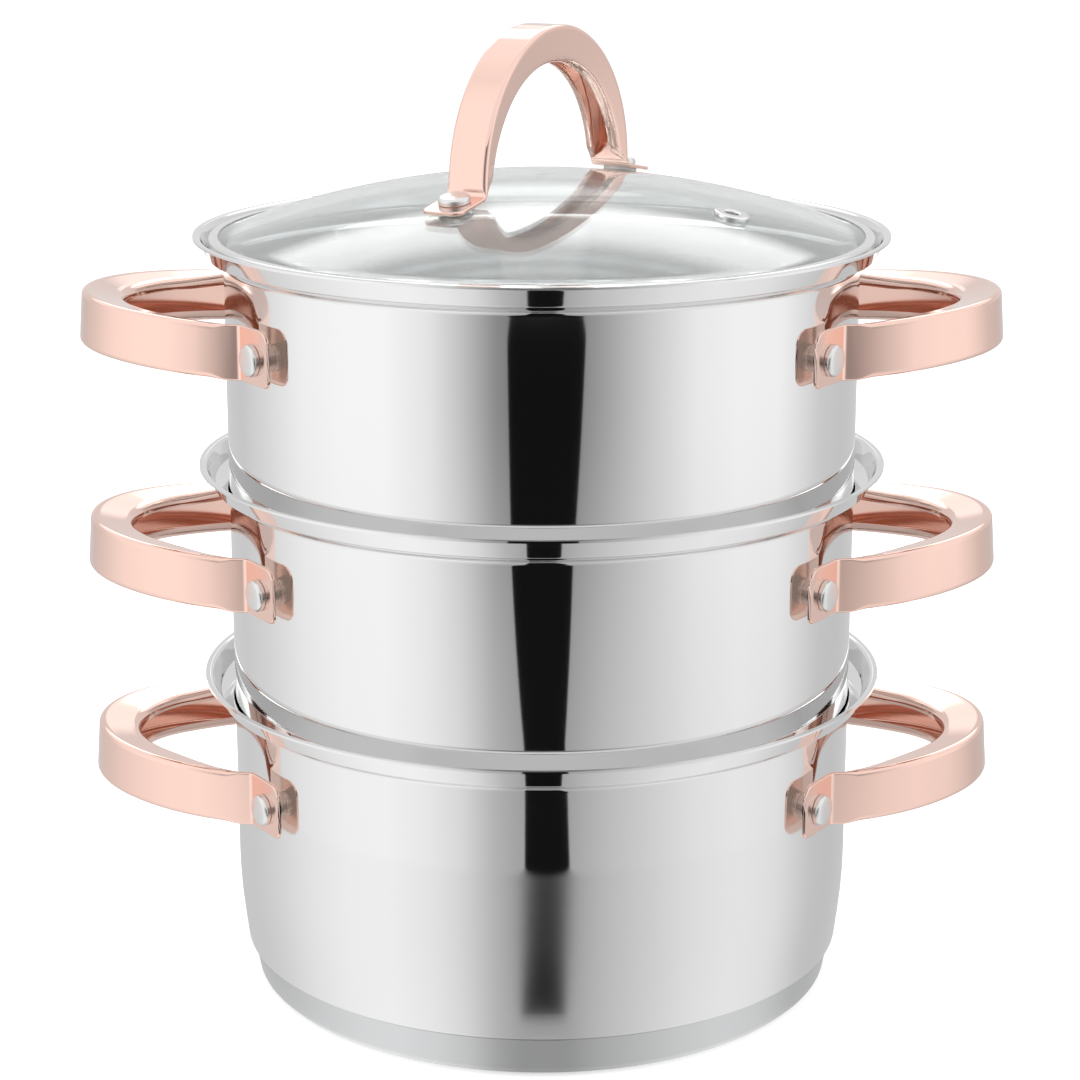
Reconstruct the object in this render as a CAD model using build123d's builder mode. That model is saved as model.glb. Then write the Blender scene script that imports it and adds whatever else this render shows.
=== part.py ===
from build123d import *
from math import asin, atan2, cos, degrees, pi, radians, sin, sqrt, tan
import os

# A two-tier steamer pot: a casserole with a bonded base, two steamer baskets that
# stand in each other's mouths, and a domed glass lid. Millimetres, +Z up, with the
# origin at the middle of the underside. The side handles point along +X and -X.

# Sheet and wall
sheet = 0.8
wall_radius = 120.0

# Rolled-out mouth, the same on the pot and both steamers
crease_out = 6.0
flare_out = 3.2
lip_flat = 2.0
crease_drop = 7.5
seat_drop = 10.3
seat_fillet = 2.0
crease_fillet = 1.4
lip_fillet = 0.9

# Heights of the three lips
pot_height = 124.9
lower_steamer_pitch = 83.1
upper_steamer_pitch = 87.4

# Pot base
base_height = 16.5
base_foot_inset = 11.3
base_side_inset = 4.8
base_top_gap = 0.3
base_knee_height = 4.0
base_knee_inset = 7.0
base_foot_fillet = 3.0
base_knee_fillet = 4.0
capsule_gap = 0.3
base_sheet = 1.0
core_disc_inset = 13.0
core_disc_thickness = 6.2
core_disc_fillet = 1.2
core_gap = 0.05
pot_floor_fillet = 6.0
pot_belly_inset = 3.0
pot_belly_fillet = 200.0
pot_belly_rise = 23.5
pot_belly_slack = 0.1
pot_seam_fillet = 2.0
pot_seam_inner_fillet = 0.9
pot_waist_inset = 6.0

# Steamer bottoms
collar_clearance = 0.7
collar_depth = 9.0
collar_fillet = 2.5
shoulder_fillet = 0.9
seat_gap = 0.3
hole_radius = 4.0
hole_ring_pitch = 28.0
hole_rings = 3
holes_in_first_ring = 6

# Side handles: pressed channel arches on riveted tabs
handle_drop = 35.6
handle_height = 20.5
handle_sheet = 1.2
handle_standoff = 55.0
handle_depth = 16.5
handle_bow_radius = 52.0
handle_bow_angle = 52.0
handle_leg_radius = 110.0
handle_edge_radius = 2.2
handle_tilt = 4.3
handle_tilt_inset = 8.0
handle_overlap = 6.0
grip_radius = 44.0
grip_angle = 48.0
grip_lip_height = 3.0
tab_angle = 33.6
tab_end = 11.0
tab_bend_radius = 5.0
tab_upper_corner = 5.5
tab_lower_corner = 3.0
rivet_below_centre = 1.2

# Rivets and spacers of the side handles
spacer_length = 3.2
spacer_radius = 5.0
rivet_shank_radius = 2.5
rivet_shank_clearance = 0.1
rivet_head_radius = 5.9
rivet_head_height = 3.0
rivet_head_fillet = 1.6
rivet_foot_radius = 5.0
rivet_foot_height = 1.4
rivet_foot_fillet = 0.8
rivet_seat_gap = 0.25

# Lid glass
glass_thickness = 4.0
glass_band_gap = 0.6
glass_shoulder = 2.8
glass_apex_rise = 21.0
glass_dome_drop = 1.1

# Steel band round the glass
band_clearance = 0.6
band_sheet = 0.5
band_bottom_rise = 0.6
band_top_drop = 0.6
band_lap = 3.6
band_corner = 1.0

# Lid handle: the same pressed channel, standing across the dome
lid_handle_angle = 60.6
lid_handle_width = 16.6
lid_handle_reach = 55.3
lid_leg_length = 0.36
lid_handle_sheet = 1.2
lid_handle_edge_radius = 1.8
lid_handle_depth = 14.0
lid_grip_radius = 48.0
lid_grip_foot_rise = 3.4
lid_grip_foot_depth = 8.0
lid_tab_end = 11.0
lid_tab_bend_radius = 2.0
lid_tab_corner = 4.0
lid_tab_reach = 7.7
gasket_thickness = 1.5
gasket_radius = 6.5
washer_thickness = 1.2
washer_radius = 6.0
lid_rivet_gap = 0.1

# Steam vent
vent_inset = 40.5
vent_angle = -32.0
vent_bore_radius = 2.6
vent_tube_radius = 3.7
vent_flange_radius = 6.6
vent_flange_thickness = 1.3
vent_foot_radius = 5.6
vent_foot_thickness = 1.0
vent_corner = 0.6
vent_clearance = 0.3

# Cuts run past the faces that they open by this much
overrun = 2.0

# Half a turn, in degrees
half_turn = 180

# Worked-out radii
crease_radius = wall_radius + crease_out
lip_bend_radius = crease_radius + flare_out
lip_radius = lip_bend_radius + lip_flat
pot_belly_radius = wall_radius - pot_belly_inset
pot_waist_radius = wall_radius - pot_waist_inset
core_disc_radius = pot_waist_radius - core_disc_inset
base_side_radius = wall_radius - base_side_inset
base_knee_radius = wall_radius - base_knee_inset
base_foot_radius = wall_radius - base_foot_inset
band_radius = crease_radius - band_clearance
glass_edge_radius = band_radius - band_sheet - glass_band_gap
glass_dome_radius = glass_edge_radius - glass_shoulder
vent_radius = glass_dome_radius - vent_inset
lid_rivet_radius = lid_handle_reach + lid_tab_reach
handle_reach = wall_radius + handle_standoff
handle_tilt_start = wall_radius - handle_tilt_inset

# Worked-out heights
pot_belly_height = base_height + pot_belly_rise
lower_steamer_height = pot_height + lower_steamer_pitch
upper_steamer_height = lower_steamer_height + upper_steamer_pitch
mouth_radius = wall_radius - sheet
collar_radius = mouth_radius - collar_clearance

# The seat line inside the mouth runs from the wall to the crease; these place the
# shoulder of the vessel above so that it clears the seat by seat_gap.
seat_slope = atan2(seat_drop - crease_drop, crease_radius - wall_radius)
seat_corner_drop = seat_drop - sheet * (1 - sin(seat_slope)) / cos(seat_slope)
shoulder_drop = seat_corner_drop - seat_gap * sqrt(2) + collar_clearance


os.makedirs("parts", exist_ok=True)


def export(piece, name):
    """Label a finished piece and write it as its own STEP file."""
    piece.label = name
    export_step(piece, f"parts/{name}.step")


def turned_sheet(points, corner_radii):
    """Spin a line of sheet metal about the axis, with its thickness inside the line."""
    with BuildSketch(Plane.XZ) as section:
        with BuildLine():
            FilletPolyline(*points, radius=corner_radii)
            offset(amount=sheet, side=Side.LEFT)
        make_face()
    revolve(section.sketch, axis=Axis.Z)


def mouth_points(lip_height):
    """Outer line of the flared mouth, from the wall up and out to the lip."""
    return [
        (wall_radius, lip_height - seat_drop),
        (crease_radius, lip_height - crease_drop),
        (lip_bend_radius, lip_height - sheet),
        (lip_radius, lip_height - sheet),
    ]


mouth_fillets = [seat_fillet, crease_fillet, lip_fillet]


def rivet_planes(height, heading):
    """Planes that face outward at the two rivets of one side handle."""
    angles = (heading - tab_angle, heading + tab_angle)
    return [
        Plane(
            origin=(0, 0, height),
            x_dir=(-sin(radians(angle)), cos(radians(angle)), 0),
            z_dir=(cos(radians(angle)), sin(radians(angle)), 0),
        )
        for angle in angles
    ]


def rivet_height(lip_height):
    """Height of the side-handle rivets below a lip."""
    return lip_height - handle_drop - rivet_below_centre


def drill_rivet_holes(lip_height):
    """Open the four rivet holes of a vessel's wall."""
    for heading in (0, half_turn):
        for plane in rivet_planes(rivet_height(lip_height), heading):
            with BuildSketch(plane.offset(wall_radius - sheet - overrun)) as hole:
                Circle(rivet_shank_radius + rivet_shank_clearance)
            extrude(hole.sketch, amount=sheet + 2 * overrun, mode=Mode.SUBTRACT)


# Pot shell: one drawn sheet, from the floor to the rolled-out lip
pot_floor = base_sheet + core_disc_thickness + 2 * core_gap
with BuildPart() as pot_shell:
    turned_sheet(
        [
            (0, pot_floor),
            (pot_waist_radius, pot_floor),
            (pot_waist_radius, base_height),
            (pot_belly_radius, base_height),
            (wall_radius - pot_belly_slack, pot_belly_height),
            *mouth_points(pot_height),
        ],
        [
            pot_floor_fillet,
            pot_seam_inner_fillet,
            pot_seam_fillet,
            pot_belly_fillet,
            *mouth_fillets,
        ],
    )
    drill_rivet_holes(pot_height)
export(pot_shell.part, "pot_shell")

# Aluminium disc that spreads the heat, sealed between the floor and the base
with BuildPart() as pot_core_disc:
    with BuildSketch(Plane.XY.offset(base_sheet + core_gap)):
        Circle(core_disc_radius)
    extrude(amount=core_disc_thickness)
    fillet(pot_core_disc.edges(), core_disc_fillet)
export(pot_core_disc.part, "pot_core_disc")

# Base capsule: a shallow cup over the disc, tapering in to the foot
capsule_top = base_height - base_top_gap
with BuildPart() as pot_base_capsule:
    with BuildSketch(Plane.XZ):
        with BuildLine():
            FilletPolyline(
                (0, 0),
                (base_foot_radius, 0),
                (base_knee_radius, base_knee_height),
                (base_side_radius, capsule_top),
                (pot_waist_radius + capsule_gap, capsule_top),
                (pot_waist_radius + capsule_gap, pot_floor - core_gap),
                (core_disc_radius + capsule_gap, pot_floor - core_gap),
                (core_disc_radius + capsule_gap, base_sheet),
                (0, base_sheet),
                radius=[
                    base_foot_fillet,
                    base_knee_fillet,
                    0,
                    0,
                    pot_floor_fillet + capsule_gap,
                    0,
                    0,
                ],
            )
            Line((0, base_sheet), (0, 0))
        make_face()
    revolve(axis=Axis.Z)
export(pot_base_capsule.part, "pot_base_capsule")


def steamer_shell(seat_lip_height, lip_height):
    """Drawn basket whose collar drops into the mouth below, with a pierced floor."""
    shoulder = seat_lip_height - shoulder_drop
    floor = shoulder - collar_depth
    with BuildPart() as shell:
        turned_sheet(
            [
                (0, floor),
                (collar_radius, floor),
                (collar_radius, shoulder),
                (wall_radius, shoulder + wall_radius - collar_radius),
                *mouth_points(lip_height),
            ],
            [collar_fillet, shoulder_fillet, shoulder_fillet, *mouth_fillets],
        )
        drill_rivet_holes(lip_height)
        with BuildSketch(Plane.XY.offset(floor - overrun)):
            Circle(hole_radius)
            for ring in range(1, hole_rings + 1):
                with PolarLocations(ring * hole_ring_pitch, ring * holes_in_first_ring):
                    Circle(hole_radius)
        extrude(amount=sheet + 2 * overrun, mode=Mode.SUBTRACT)
    return shell.part


export(steamer_shell(pot_height, lower_steamer_height), "lower_steamer_shell")
export(
    steamer_shell(lower_steamer_height, upper_steamer_height), "upper_steamer_shell"
)


# Side handle, seen from above in its own frame, with the arch towards +X.
# The bow is one arc, each leg a wider arc that runs on from it, and each tab a
# straight line that touches the pot's wall at the rivet.
tab_face = wall_radius + spacer_length + handle_sheet
bow_centre = handle_reach - handle_bow_radius
bow = radians(handle_bow_angle)
bow_end = (
    bow_centre + handle_bow_radius * cos(bow),
    -handle_bow_radius * sin(bow),
)
leg_centre = (
    bow_end[0] - handle_leg_radius * cos(bow),
    bow_end[1] + handle_leg_radius * sin(bow),
)
tab_turn = radians(tab_angle)
tab_foot = (tab_face * cos(tab_turn), -tab_face * sin(tab_turn))
tab_along = (sin(tab_turn), cos(tab_turn))


def on_tab(distance):
    """Point on the tab's outer line, a distance towards the handle from the rivet."""
    return (
        tab_foot[0] + distance * tab_along[0],
        tab_foot[1] + distance * tab_along[1],
    )


def on_leg(turn):
    """Point on the leg's outer arc at an angle measured from +X."""
    return (
        leg_centre[0] + handle_leg_radius * cos(turn),
        leg_centre[1] + handle_leg_radius * sin(turn),
    )


# Where the tab's line meets the leg's arc
gap_x = tab_foot[0] - leg_centre[0]
gap_y = tab_foot[1] - leg_centre[1]
half_b = gap_x * tab_along[0] + gap_y * tab_along[1]
rest_c = gap_x**2 + gap_y**2 - handle_leg_radius**2
corner_distance = -half_b - sqrt(half_b**2 - rest_c)
corner = on_tab(corner_distance)
corner_turn = atan2(corner[1] - leg_centre[1], corner[0] - leg_centre[0])
overlap_turn = (handle_tilt_start - corner[0]) / handle_leg_radius


def turned_outline(plane, points, corner_radii):
    """Spin an outline of (radius, height) points about the plane's own z direction."""
    upright = Plane(
        origin=plane.origin, x_dir=plane.x_dir, z_dir=plane.x_dir.cross(plane.z_dir)
    )
    with BuildSketch(upright) as section:
        with BuildLine():
            FilletPolyline(*points, radius=corner_radii)
            Line(points[-1], points[0])
        make_face()
    revolve(section.sketch, axis=Axis(plane.origin, plane.z_dir))


def c_section(depth, height, edge_radius, thickness):
    """Channel section: a web on the y axis with a flange running inward at each end."""
    with BuildLine() as section:
        FilletPolyline(
            (depth, -height / 2),
            (0, -height / 2),
            (0, height / 2),
            (depth, height / 2),
            radius=edge_radius,
        )
        offset(amount=thickness, side=Side.RIGHT)
    make_face(section.edges())


# Channel of the side handle, still level
channel_turn = corner_turn + overlap_turn
channel_start = on_leg(channel_turn)
channel_plane = Plane(
    origin=channel_start,
    x_dir=(-cos(channel_turn), -sin(channel_turn), 0),
    z_dir=(-sin(channel_turn), cos(channel_turn), 0),
)
with BuildLine() as bow_path:
    leg = CenterArc(
        leg_centre,
        handle_leg_radius,
        degrees(channel_turn),
        degrees(-bow - channel_turn),
    )
    CenterArc((bow_centre, 0), handle_bow_radius, -degrees(bow), 2 * degrees(bow))
    mirror(leg, about=Plane.XZ)

# The flanges narrow towards the tabs, along the line that the fingers follow
grip = radians(grip_angle)
grip_centre = handle_reach - handle_depth - grip_radius
grip_point = (grip_centre + grip_radius * cos(grip), -grip_radius * sin(grip))
grip_run = (grip_point[0] - tab_foot[0]) / sin(grip)
grip_foot = (tab_foot[0], grip_point[1] - grip_run * cos(grip))


def grip_outline():
    """Line that the fingers follow, closed behind the handle."""
    with BuildLine() as line:
        CenterArc((grip_centre, 0), grip_radius, -grip_angle, 2 * grip_angle)
        Polyline(
            grip_point,
            grip_foot,
            (grip_foot[0], -grip_foot[1]),
            (grip_point[0], -grip_point[1]),
        )
    return line.line


with BuildPart() as side_channel:
    with BuildSketch(channel_plane):
        c_section(handle_depth, handle_height, handle_edge_radius, handle_sheet)
    sweep(path=bow_path.wire())
    with BuildSketch(Plane.XY.offset(-handle_height)):
        add(grip_outline())
        make_face()
        for side in (1, -1):
            with Locations((leg_centre[0], side * leg_centre[1])):
                Circle(handle_leg_radius - handle_sheet, mode=Mode.INTERSECT)
    extrude(amount=2 * handle_height, mode=Mode.SUBTRACT)

# Inner edges of the two flanges, rolled over towards each other
with BuildPart() as grip_lips:
    with BuildSketch(channel_plane):
        with BuildLine():
            Polyline(
                (handle_sheet / 2, -handle_height / 2 + handle_sheet / 2),
                (handle_depth, -handle_height / 2 + handle_sheet / 2),
                (handle_depth, handle_height / 2 - handle_sheet / 2),
                (handle_sheet / 2, handle_height / 2 - handle_sheet / 2),
                close=True,
            )
        make_face()
    sweep(path=bow_path.wire())
    with BuildSketch(Plane.XY.offset(-handle_height)):
        add(grip_outline())
        make_face()
        offset(amount=handle_sheet)
        add(grip_outline())
        make_face(mode=Mode.SUBTRACT)
    extrude(amount=2 * handle_height, mode=Mode.INTERSECT)
    across_handles = 2 * (handle_reach + overrun)
    between_lips = handle_height - 2 * grip_lip_height
    Box(across_handles, across_handles, between_lips, mode=Mode.SUBTRACT)

# Strap that runs on from the channel's web and bends flat to the rivet
strap_end = (tab_foot[0] - tab_end * tab_along[0], tab_foot[1] - tab_end * tab_along[1])
strap_turn = corner_turn + handle_overlap / handle_leg_radius
with BuildPart() as strap:
    with BuildSketch(Plane.XY.offset(-handle_height / 2)):
        with BuildLine() as strap_line:
            Line(strap_end, corner)
            CenterArc(
                leg_centre,
                handle_leg_radius,
                degrees(corner_turn),
                degrees(strap_turn - corner_turn),
            )
            fillet(strap_line.vertices().sort_by_distance((*corner, 0))[0], tab_bend_radius)
            offset(amount=handle_sheet, side=Side.LEFT)
        make_face()
    extrude(amount=handle_height)
    through_tab = Axis((0, 0, 0), (cos(tab_turn), -sin(tab_turn), 0))
    fillet(strap.edges().filter_by(through_tab).sort_by(Axis.Z)[0], tab_lower_corner)
    fillet(strap.edges().filter_by(through_tab).sort_by(Axis.Z)[-1], tab_upper_corner)
    with BuildSketch(rivet_planes(-rivet_below_centre, 0)[0].offset(wall_radius)):
        Circle(rivet_shank_radius + rivet_shank_clearance)
    extrude(amount=spacer_length + handle_sheet + overrun, mode=Mode.SUBTRACT)

with BuildPart() as side_handle:
    tilt_axis = Axis((handle_tilt_start, 0, 0), (0, 1, 0))
    for channel in (side_channel, grip_lips):
        add(channel.part.rotate(tilt_axis, -handle_tilt))
    add(strap.part)
    mirror(strap.part, about=Plane.XZ)


def side_handle_set(vessel, lip_height):
    """Both handles of one vessel, each with its spacers and rivets."""
    for side, heading in (("left", half_turn), ("right", 0)):
        with BuildPart() as handle:
            with Locations(Location((0, 0, lip_height - handle_drop), (0, 0, heading))):
                add(side_handle.part)
        export(handle.part, f"{vessel}_handle_{side}")
        planes = rivet_planes(rivet_height(lip_height), heading)
        with BuildPart() as spacers:
            for plane in planes:
                with BuildSketch(plane.offset(wall_radius + core_gap)):
                    Circle(spacer_radius)
                    Circle(rivet_shank_radius + rivet_shank_clearance, mode=Mode.SUBTRACT)
                extrude(amount=spacer_length - core_gap)
        export(spacers.part, f"{vessel}_spacers_{side}")
        foot_top = mouth_radius - rivet_seat_gap
        foot_bottom = foot_top - rivet_foot_height
        head_bottom = tab_face + core_gap
        with BuildPart() as rivets:
            for plane in planes:
                turned_outline(
                    plane,
                    [
                        (0, foot_bottom),
                        (rivet_foot_radius, foot_bottom),
                        (rivet_foot_radius, foot_top),
                        (rivet_shank_radius, foot_top),
                        (rivet_shank_radius, head_bottom),
                        (rivet_head_radius, head_bottom),
                        (rivet_head_radius, head_bottom + rivet_head_height),
                        (0, head_bottom + rivet_head_height),
                    ],
                    [rivet_foot_fillet, 0, 0, 0, 0, rivet_head_fillet],
                )
        export(rivets.part, f"{vessel}_rivets_{side}")


side_handle_set("pot", pot_height)
side_handle_set("lower_steamer", lower_steamer_height)
side_handle_set("upper_steamer", upper_steamer_height)

# Lid heights, from the lip that it lies in
band_top = upper_steamer_height - band_top_drop
band_bottom = upper_steamer_height - crease_drop + band_bottom_rise
dome_foot = upper_steamer_height - glass_dome_drop
dome_apex = upper_steamer_height + glass_apex_rise
dome_sag = dome_apex - dome_foot
dome_radius = (glass_dome_radius**2 + dome_sag**2) / (2 * dome_sag)
dome_centre = dome_apex - dome_radius
lid_rivet_lean = asin(lid_rivet_radius / dome_radius)


def dome_plane(radius, angle):
    """Plane that touches the dome at a radius and angle, facing outward."""
    lean = asin(radius / dome_radius)
    turn = radians(angle)
    normal = (sin(lean) * cos(turn), sin(lean) * sin(turn), cos(lean))
    return Plane(
        origin=(
            dome_radius * normal[0],
            dome_radius * normal[1],
            dome_centre + dome_radius * normal[2],
        ),
        x_dir=(cos(lean) * cos(turn), cos(lean) * sin(turn), -sin(lean)),
        z_dir=normal,
    )


lid_rivet_planes = [
    dome_plane(lid_rivet_radius, lid_handle_angle + turn) for turn in (0, half_turn)
]
vent_plane = dome_plane(vent_radius, vent_angle)

# Domed glass, thicker where the band holds its edge
glass_edge_top = band_top - band_sheet - core_gap
glass_edge_bottom = band_bottom + band_sheet + core_gap
inner_dome_radius = dome_radius - glass_thickness
inner_foot_radius = sqrt(inner_dome_radius**2 - (glass_edge_bottom - dome_centre) ** 2)
with BuildPart() as lid_glass:
    with BuildSketch(Plane.XZ):
        with BuildLine():
            RadiusArc((0, dome_apex), (glass_dome_radius, dome_foot), dome_radius)
            Polyline(
                (glass_dome_radius, dome_foot),
                (glass_edge_radius, glass_edge_top),
                (glass_edge_radius, glass_edge_bottom),
                (inner_foot_radius, glass_edge_bottom),
            )
            RadiusArc(
                (inner_foot_radius, glass_edge_bottom),
                (0, dome_apex - glass_thickness),
                -inner_dome_radius,
            )
            Line((0, dome_apex - glass_thickness), (0, dome_apex))
        make_face()
    revolve(axis=Axis.Z)
    for plane in lid_rivet_planes:
        with BuildSketch(plane.offset(overrun)):
            Circle(rivet_shank_radius + rivet_shank_clearance)
        extrude(amount=-glass_thickness - 2 * overrun, mode=Mode.SUBTRACT)
    with BuildSketch(vent_plane.offset(overrun)):
        Circle(vent_tube_radius + vent_clearance)
    extrude(amount=-glass_thickness - 2 * overrun, mode=Mode.SUBTRACT)
export(lid_glass.part, "lid_glass")

# Steel band folded over the glass edge, open towards the middle
with BuildPart() as lid_rim_band:
    with BuildSketch(Plane.XZ):
        with BuildLine():
            FilletPolyline(
                (band_radius - band_lap, band_bottom),
                (band_radius, band_bottom),
                (band_radius, band_top),
                (band_radius - band_lap, band_top),
                radius=band_corner,
            )
            offset(amount=band_sheet, side=Side.LEFT)
        make_face()
    revolve(axis=Axis.Z)
export(lid_rim_band.part, "lid_rim_band")

# Steam vent: a flanged steel eyelet set square to the glass
vent_foot = -glass_thickness - vent_clearance
with BuildPart() as lid_vent_eyelet:
    turned_outline(
        vent_plane,
        [
            (vent_bore_radius, vent_flange_thickness),
            (vent_flange_radius, vent_flange_thickness),
            (vent_flange_radius, core_gap),
            (vent_tube_radius, core_gap),
            (vent_tube_radius, vent_foot),
            (vent_foot_radius, vent_foot),
            (vent_foot_radius, vent_foot - vent_foot_thickness),
            (vent_bore_radius, vent_foot - vent_foot_thickness),
        ],
        [vent_corner, 0, 0, 0, 0, 0],
    )
export(lid_vent_eyelet.part, "lid_vent_eyelet")


# Lid handle, seen from the front in its own frame, standing in the XZ plane.
# Each tab lies along the dome under its rivet, and the web rises from it in a
# half circle.
lid_tab_face = dome_radius + gasket_thickness + lid_handle_sheet
lid_tab_foot = (
    lid_tab_face * sin(lid_rivet_lean),
    dome_centre + lid_tab_face * cos(lid_rivet_lean),
)
lid_corner_run = (lid_tab_foot[0] - lid_handle_reach) / cos(lid_rivet_lean)
lid_corner = (
    lid_handle_reach,
    lid_tab_foot[1] + lid_corner_run * sin(lid_rivet_lean),
)
lid_bend_run = lid_tab_bend_radius * tan((pi / 2 - lid_rivet_lean) / 2)
lid_handle_centre = lid_corner[1] + lid_bend_run + lid_leg_length
lid_strap_end = (
    lid_tab_foot[0] + lid_tab_end * cos(lid_rivet_lean),
    lid_tab_foot[1] - lid_tab_end * sin(lid_rivet_lean),
)

with BuildPart() as lid_strap:
    with BuildSketch(Plane.XZ):
        with BuildLine() as lid_strap_line:
            Polyline(lid_strap_end, lid_corner, (lid_handle_reach, lid_handle_centre))
            fillet(
                lid_strap_line.vertices().sort_by_distance(lid_corner)[0],
                lid_tab_bend_radius,
            )
            offset(amount=lid_handle_sheet, side=Side.LEFT)
        make_face()
    extrude(amount=lid_handle_width / 2, both=True)
    through_lid_tab = Axis((0, 0, 0), (sin(lid_rivet_lean), 0, cos(lid_rivet_lean)))
    for end in (0, -1):
        tab_edges = lid_strap.edges().filter_by(through_lid_tab).sort_by(Axis.Y)
        fillet(tab_edges[end], lid_tab_corner)
    with BuildSketch(dome_plane(lid_rivet_radius, 0)):
        Circle(rivet_shank_radius + rivet_shank_clearance)
    extrude(amount=gasket_thickness + lid_handle_sheet + overrun, mode=Mode.SUBTRACT)

with BuildPart() as lid_channel:
    with BuildSketch(
        Plane(
            origin=(lid_handle_reach, 0, lid_handle_centre),
            x_dir=(-1, 0, 0),
            z_dir=(0, 0, 1),
        )
    ):
        c_section(
            lid_handle_depth, lid_handle_width, lid_handle_edge_radius, lid_handle_sheet
        )
    revolve(
        axis=Axis((0, 0, lid_handle_centre), (0, -1, 0)), revolution_arc=half_turn
    )
    # The flanges end in a slant above each tab
    grip_top = lid_handle_centre + lid_handle_reach - lid_handle_depth
    grip_middle = grip_top - lid_grip_radius
    slant_top = lid_handle_centre + lid_grip_foot_rise
    slant_out = lid_handle_reach - lid_handle_sheet - lid_handle_edge_radius
    slant_in = lid_handle_reach - lid_grip_foot_depth
    with BuildSketch(Plane.XZ):
        with Locations((0, grip_middle)):
            Circle(lid_grip_radius)
        Polygon(
            (-slant_in, slant_top),
            (-slant_out, lid_handle_centre),
            (slant_out, lid_handle_centre),
            (slant_in, slant_top),
            align=None,
        )
    extrude(amount=lid_handle_width, both=True, mode=Mode.SUBTRACT)

with BuildPart() as lid_handle_form:
    add(lid_channel.part)
    add(lid_strap.part)
    mirror(lid_strap.part, about=Plane.YZ)
with BuildPart() as lid_handle:
    add(lid_handle_form.part.rotate(Axis.Z, lid_handle_angle))
export(lid_handle.part, "lid_handle")

# Silicone gaskets over the glass, steel washers under it, and the rivets through all
washer_top = -glass_thickness - 2 * lid_rivet_gap
washer_bottom = washer_top - washer_thickness
lid_foot_top = washer_bottom - lid_rivet_gap
lid_head_bottom = gasket_thickness + lid_handle_sheet + core_gap
with BuildPart() as lid_gaskets:
    for plane in lid_rivet_planes:
        with BuildSketch(plane.offset(lid_rivet_gap)):
            Circle(gasket_radius)
            Circle(rivet_shank_radius + rivet_shank_clearance, mode=Mode.SUBTRACT)
        extrude(amount=gasket_thickness - lid_rivet_gap)
export(lid_gaskets.part, "lid_gaskets")

with BuildPart() as lid_washers:
    for plane in lid_rivet_planes:
        with BuildSketch(plane.offset(washer_bottom)):
            Circle(washer_radius)
            Circle(rivet_shank_radius + rivet_shank_clearance, mode=Mode.SUBTRACT)
        extrude(amount=washer_thickness)
export(lid_washers.part, "lid_washers")

with BuildPart() as lid_rivets:
    for plane in lid_rivet_planes:
        turned_outline(
            plane,
            [
                (0, lid_foot_top - rivet_foot_height),
                (rivet_foot_radius, lid_foot_top - rivet_foot_height),
                (rivet_foot_radius, lid_foot_top),
                (rivet_shank_radius, lid_foot_top),
                (rivet_shank_radius, lid_head_bottom),
                (rivet_head_radius, lid_head_bottom),
                (rivet_head_radius, lid_head_bottom + rivet_head_height),
                (0, lid_head_bottom + rivet_head_height),
            ],
            [rivet_foot_fillet, 0, 0, 0, 0, rivet_head_fillet],
        )
export(lid_rivets.part, "lid_rivets")
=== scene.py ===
from math import acos, asin, atan2, ceil, cos, hypot, pi, radians, sin, sqrt, tan

import bmesh
import bpy
from mathutils import Matrix, Vector


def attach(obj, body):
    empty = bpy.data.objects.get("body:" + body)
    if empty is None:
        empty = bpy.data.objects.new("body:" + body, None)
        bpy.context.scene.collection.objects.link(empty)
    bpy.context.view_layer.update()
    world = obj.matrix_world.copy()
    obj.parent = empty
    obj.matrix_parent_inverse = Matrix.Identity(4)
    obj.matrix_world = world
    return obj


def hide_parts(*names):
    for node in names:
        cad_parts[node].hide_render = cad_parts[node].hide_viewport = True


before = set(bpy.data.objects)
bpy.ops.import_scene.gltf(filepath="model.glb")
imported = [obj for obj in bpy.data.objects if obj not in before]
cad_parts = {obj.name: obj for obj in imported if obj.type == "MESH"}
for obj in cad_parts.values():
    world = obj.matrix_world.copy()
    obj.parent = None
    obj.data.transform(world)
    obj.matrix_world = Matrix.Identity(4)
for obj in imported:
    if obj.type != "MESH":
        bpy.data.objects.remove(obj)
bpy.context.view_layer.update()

# Sizes are in millimetres until a mesh is finished; materials read metres
MM = 0.001

# Pot: one sheet of stainless steel, spun to a deep casserole with a rolled-out
# mouth. The wall is mirror polished down to the handles and satin below, where
# the sheet draws in over the bonded base.
SHEET = 0.8
WALL = 120.0
LIPS = {"pot": 124.9, "lower_steamer": 208.0, "upper_steamer": 295.3}
CREASE, LIP_BEND, LIP_EDGE = 126.0, 129.2, 131.2
SEAT_DROP, CREASE_DROP = 10.3, 7.5
MOUTH_ROUNDING = [2.0, 1.4, 0.9]
POT_FLOOR, POT_WAIST, POT_BELLY = 7.3, 114.0, 117.0
BASE_HEIGHT = 16.5
BELLY_END = (119.9, 40.0)
POT_ROUNDING = [6.0, 0.9, 2.0, 200.0, *MOUTH_ROUNDING]
SATIN_TOP, SATIN_RISE, SATIN_FALL = 0.084, 0.002, 0.004
STEPS_ROUND = 360
SHARP_ANGLE = radians(30)
BRIGHT = (0.76, 0.76, 0.76, 1)
POLISH, UNEVEN, SATIN = 0.035, 0.03, 0.17


def side_of(arrive, leave):
    """1 where a way turns left, and -1 where it turns right."""
    return 1 if arrive.x * leave.y - arrive.y * leave.x > 0 else -1


def arc(centre, spoke, turn, count):
    """Points that a spoke draws as it turns round its centre."""
    points = []
    for step in range(count + 1):
        angle = turn * step / count
        across = spoke.x * cos(angle) - spoke.y * sin(angle)
        ahead = spoke.x * sin(angle) + spoke.y * cos(angle)
        points.append(centre + Vector((across, ahead)))
    return points


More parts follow.
